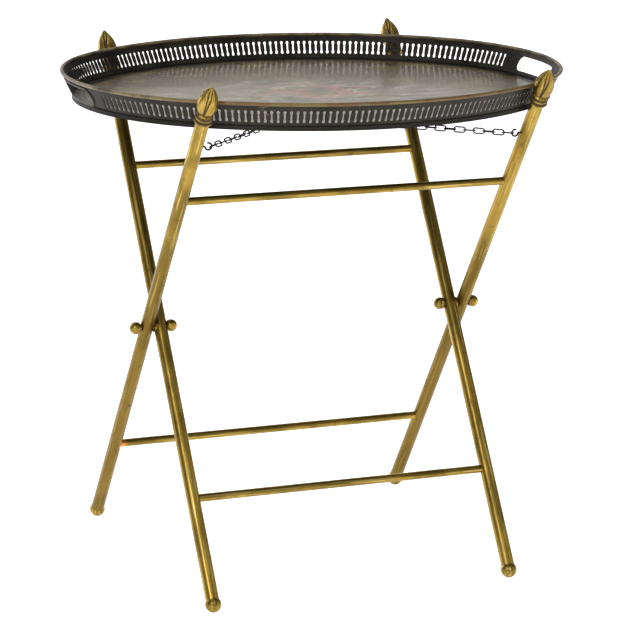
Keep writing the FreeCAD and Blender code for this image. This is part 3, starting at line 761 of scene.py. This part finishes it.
def make_chain(name, front_leg, back_leg, sag, twist, node, material):
    """Oval wire links hung on a parabola, each turned a quarter turn from the last, give or
    take a little. A link is a round wire swept round two half circles joined by straight
    sides. twist is how far the first link is turned, in degrees."""
    start, end = chain_ends(front_leg, back_leg)
    t = np.linspace(0, 1, 2001)[:, None]
    down = np.array([0.0, 0.0, 1.0])
    curve = start + (end - start) * t - down * (4 * sag * t * (1 - t))
    length = np.concatenate([[0], np.cumsum(np.linalg.norm(np.diff(curve, axis=0), axis=1))])
    marks = np.linspace(0, length[-1], LINKS + 1)
    knots = np.stack([np.interp(marks, length, curve[:, i]) for i in range(3)], -1)
    centre = (knots[1:] + knots[:-1]) / 2
    along = np.diff(knots, axis=0)
    along /= np.linalg.norm(along, axis=1)[:, None]
    level = np.cross(along, down)
    level /= np.linalg.norm(level, axis=1)[:, None]
    upright = np.cross(level, along)
    number = np.arange(LINKS)
    wander = np.sin(number * 2.4) * 0.14
    quarter = (number % 2) * math.pi / 2 + wander + math.radians(twist)
    across = level * np.cos(quarter)[:, None] + upright * np.sin(quarter)[:, None]
    normal = np.cross(along, across)
    straight = (length[-1] / LINKS + 2 * LINK_WIRE + LINK_SLACK) / 2 - LINK_HALF
    turn = np.linspace(-math.pi / 2, math.pi * 1.5, 25)[:-1]
    shift = np.where(np.cos(turn) > -1e-9, straight, -straight)
    path_x, path_y = shift + LINK_HALF * np.cos(turn), LINK_HALF * np.sin(turn)
    away_x, away_y = np.cos(turn), np.sin(turn)
    ring = np.linspace(0, 2 * math.pi, 9)
    out = LINK_WIRE * np.cos(ring)[:, None]
    a = path_x + away_x * out
    b = path_y + away_y * out
    c = np.broadcast_to(LINK_WIRE * np.sin(ring)[:, None], a.shape)
    local = [axis[:, None, None, :] for axis in (along, across, normal)]
    points = centre[:, None, None, :] + sum(
        w[None, :, :, None] * axis for w, axis in zip((a, b, c), local)
    )
    piece = make_piece(name, [(points, True)], material, 80.0)
    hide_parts(node)
    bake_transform(piece)


# ---- dress the CAD nodes ----
SOLDER = (leg_point("outer_left", -215 * MM, 8 * MM, 1 * MM), 9.5 * MM, COPPER)
PINHOLE = (leg_point("outer_left", -133 * MM, 1 * MM, 8 * MM), 2.2 * MM, SOOT)
GREEN_STAIN = (leg_point("outer_left", -8 * MM, 4 * MM, 7 * MM), 6.0 * MM, VERDIGRIS)

inner_brass = brass("brass_inner_legs", LEAN, wear=0.55)
outer_brass = brass(
    "brass_outer_legs", -LEAN, wear=0.55, spots=(SOLDER, PINHOLE, GREEN_STAIN), low=0.68,
)
rail_brass = brass("brass_rails", along_x=True, wear=0.75, spots=(SOLDER,))
ball_brass = brass("brass_balls", wear=0.8)
bud_brass = brass("brass_buds", wear=0.6, groove="dirt")
collar_brass = {
    frame_side: ringed_brass("brass_collars_" + frame_side, seat - COLLAR_HEIGHT, seat)
    for frame_side, seat in BUD_SEAT.items()
}
dark_brass = brass("brass_dark", wear=1.0)
iron = black_iron("black_iron")
wall_paint = tole_paint("wall_paint", WALL_DARK, WALL_RUBBED, 0.40)
band_paint = tole_paint("band_paint", BAND_DARK, BAND_RUBBED, 0.45)
edging_paint = tole_paint("edging_paint", EDGING_DARK, EDGING_RUBBED, 0.36)
rust_edging = tole_paint("rust_edging", RUST_DARK, RUST_BRIGHT, 0.45)
gilt = worn_gilding("rim_gilding")
lacquer = painted_lacquer("floor_lacquer")

TRAY_LOOKS = {
    "tray_floor": lacquer, "tray_foot_band": band_paint,
    "tray_gallery": wall_paint, "tray_rim": gilt,
    "hand_hole_edging_left": edging_paint, "hand_hole_edging_right": rust_edging,
}


def material_of(node):
    """The finish of a node, from its name."""
    if node.startswith("chain"):
        return iron
    if node in TRAY_LOOKS:
        return TRAY_LOOKS[node]
    if node.startswith("finial_collar"):
        return collar_brass[node.split("_")[2]]
    if node.startswith("finial_bud"):
        return bud_brass
    if "rail" in node:
        return rail_brass
    if node.startswith("foot_ball") or node.startswith("pivot_knob"):
        return ball_brass
    if node.startswith("pivot"):
        return dark_brass
    return inner_brass if node.startswith("inner") else outer_brass


for node_name, node_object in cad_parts.items():
    node_object.data.materials.clear()
    node_object.data.materials.append(material_of(node_name))

gallery = make_gallery(wall_paint)
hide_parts("tray_gallery")
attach(gallery, "tray")
for leg_name in LEGS:
    make_bud(leg_name, bud_brass)
make_chain(
    "chain_links_left", "outer_left", "inner_right", 0.6 * MM, 31.0,
    "chain_from_front_left", iron,
)
make_chain(
    "chain_links_right", "outer_right", "inner_left", 2.6 * MM, -10.0,
    "chain_from_front_right", iron,
)


# ---- floor, light and camera ----
SWEEP_FRONT, SWEEP_BEND, SWEEP_RADIUS = -6.0, 4.2, 1.2
SWEEP_TOP, SWEEP_HALF_WIDTH = 5.0, 5.0
FLOOR_GLOW = 0.85


def make_sweep():
    """A pale floor that curves up behind the table, in a quarter circle, into a backdrop."""
    flat = np.linspace(SWEEP_FRONT, SWEEP_BEND, 6)
    bend = np.linspace(0.1, math.pi / 2, 16)
    bend_y = SWEEP_BEND + SWEEP_RADIUS * np.sin(bend)
    bend_z = SWEEP_RADIUS - SWEEP_RADIUS * np.cos(bend)
    y = np.concatenate([flat, bend_y, [SWEEP_BEND + SWEEP_RADIUS]])
    z = np.concatenate([np.zeros_like(flat), bend_z, [SWEEP_TOP]])
    x = np.array([-SWEEP_HALF_WIDTH, SWEEP_HALF_WIDTH])
    points = np.stack([
        np.broadcast_to(x[None, :], (len(y), 2)),
        np.broadcast_to(y[:, None], (len(y), 2)),
        np.broadcast_to(z[:, None], (len(y), 2)),
    ], -1)
    look = Look("pale_paper", Roughness=0.9, Specular_IOR_Level=0.1)
    grain = look.noise(look.vector(*look.place()), 3.0, 2.0)
    look.shader.inputs["Emission Color"].default_value = (1.0, 1.0, 1.0, 1.0)
    look.shader.inputs["Emission Strength"].default_value = FLOOR_GLOW
    paper = look.finish(look.mix(grain, (0.93, 0.93, 0.93), (0.95, 0.95, 0.95)))
    sweep = make_piece("floor_sweep", [(points, False)], paper)


def area_light(name, place, aim, width, height, watts):
    """A soft panel that faces the point aim metres above the middle of the stand."""
    data = bpy.data.lights.new(name, "AREA")
    data.shape = "RECTANGLE"
    data.size, data.size_y, data.energy = width, height, watts
    light = bpy.data.objects.new(name, data)
    bpy.context.scene.collection.objects.link(light)
    back = np.array(place) - np.array([0.0, 0.0, aim])
    back /= np.linalg.norm(back)
    right = np.cross([0.0, 0.0, 1.0], back)
    right /= np.linalg.norm(right)
    up = np.cross(back, right)
    light.matrix_world = Matrix([
        [right[i], up[i], back[i], place[i]] for i in range(3)
    ] + [[0, 0, 0, 1]])


def set_world(strength):
    """Even white light from all round."""
    world = bpy.data.worlds.new("studio")
    world.use_nodes = True
    background = world.node_tree.nodes["Background"]
    background.inputs["Color"].default_value = (1.0, 1.0, 1.0, 1.0)
    background.inputs["Strength"].default_value = strength
    bpy.context.scene.world = world


CAMERA_PLACE = (-1.3098, -3.2478, 1.1841)
CAMERA_YAW, CAMERA_DIP, CAMERA_ROLL = 0.3835, 0.2472, 0.0173
CAMERA_LENS, CAMERA_SENSOR = 173.6, 36.0


def make_camera():
    """A long lens, some 3.6 m away, in front and to the left, looking down a little."""
    forward = np.array([
        math.sin(CAMERA_YAW) * math.cos(CAMERA_DIP),
        math.cos(CAMERA_YAW) * math.cos(CAMERA_DIP),
        -math.sin(CAMERA_DIP),
    ])
    right = np.array([math.cos(CAMERA_YAW), -math.sin(CAMERA_YAW), 0.0])
    up = np.cross(right, forward)
    across = math.cos(CAMERA_ROLL) * right + math.sin(CAMERA_ROLL) * up
    upright = -math.sin(CAMERA_ROLL) * right + math.cos(CAMERA_ROLL) * up
    data = bpy.data.cameras.new("camera")
    data.lens = CAMERA_LENS
    data.sensor_width = CAMERA_SENSOR
    data.clip_end = 50.0
    camera = bpy.data.objects.new("camera", data)
    bpy.context.scene.collection.objects.link(camera)
    camera.matrix_world = Matrix([
        [across[i], upright[i], -forward[i], CAMERA_PLACE[i]] for i in range(3)
    ] + [[0, 0, 0, 1]])
    bpy.context.scene.camera = camera


make_sweep()
set_world(0.22)
area_light("key", (-2.3, -2.3, 1.9), aim=0.40, width=0.60, height=2.4, watts=38.0)
area_light("strip", (-0.2, -3.4, 1.9), aim=0.40, width=0.20, height=2.4, watts=16.0)
area_light("fill", (2.6, -1.6, 1.2), aim=0.35, width=0.25, height=1.8, watts=8.0)
area_light("back", (-1.9, 2.6, 0.9), aim=0.40, width=0.60, height=1.2, watts=12.0)
area_light("top", (-0.3, 0.2, 2.9), aim=0.50, width=1.20, height=1.2, watts=18.0)
make_camera()
bpy.context.scene.view_settings.view_transform = "Standard"
